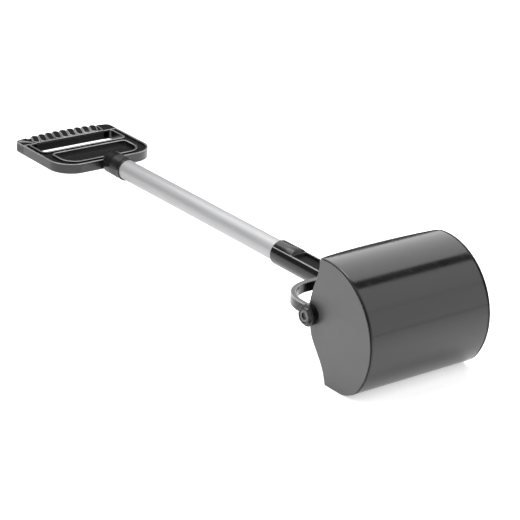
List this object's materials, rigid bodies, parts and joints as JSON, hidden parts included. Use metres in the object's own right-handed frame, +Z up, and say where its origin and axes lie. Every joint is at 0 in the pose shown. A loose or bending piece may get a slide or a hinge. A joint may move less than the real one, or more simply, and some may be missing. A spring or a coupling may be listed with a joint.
{
  "type": "sand scoop",
  "caption": "Long-handled beach sand scoop: a drum-shaped bucket tilts on friction hinges in a U-shaped yoke at the end of a metal tube with a D-shaped hand grip.",
  "frame": {"origin": "middle of the drum's flat floor, the face that rests on the ground", "axes": "+Y along the tube from the grip towards the scoop, +Z up, +X across to the right"},
  "size_m": [0.1916, 0.7251, 0.1377],
  "materials": {
    "scoop_plastic": "dark charcoal moulded plastic, satin gloss",
    "cheek_plastic": "dark grey moulded plastic, fine matt grain",
    "sleeve_plastic": "natural nylon bearing sleeve",
    "yoke_plastic": "black glass-filled plastic, polished mould",
    "bush_rubber": "black hard rubber, ribbed",
    "blackened_steel": "black oxide steel",
    "zinc_steel": "zinc plated steel",
    "tube_aluminium": "satin anodised aluminium",
    "grip_plastic": "black moulded plastic"
  },
  "bodies": {
    "handle": {"yoke": "yoke_plastic", "right_friction_bush": "bush_rubber", "left_friction_bush": "bush_rubber", "right_pivot_bolt": "blackened_steel", "left_pivot_bolt": "blackened_steel", "right_thrust_washer": "zinc_steel", "left_thrust_washer": "zinc_steel", "right_spring_washer": "zinc_steel", "left_spring_washer": "zinc_steel", "right_lock_nut": "zinc_steel", "left_lock_nut": "zinc_steel", "handle_tube": "tube_aluminium", "socket_screw": "zinc_steel", "d_grip": "grip_plastic", "collar_ring": "bush_rubber", "grip_screw": "zinc_steel"},
    "scoop": {"scoop_wall": "scoop_plastic", "right_cheek": "cheek_plastic", "left_cheek": "cheek_plastic", "right_pivot_sleeve": "sleeve_plastic", "left_pivot_sleeve": "sleeve_plastic"}
  },
  "joints": [
    {"name": "scoop_tilt", "type": "hinge", "parent": "handle", "child": "scoop", "pos_m": [0, -0.0395, 0.0716], "axis": [1, 0, 0], "range_deg": [-85, 50]}
  ]
}
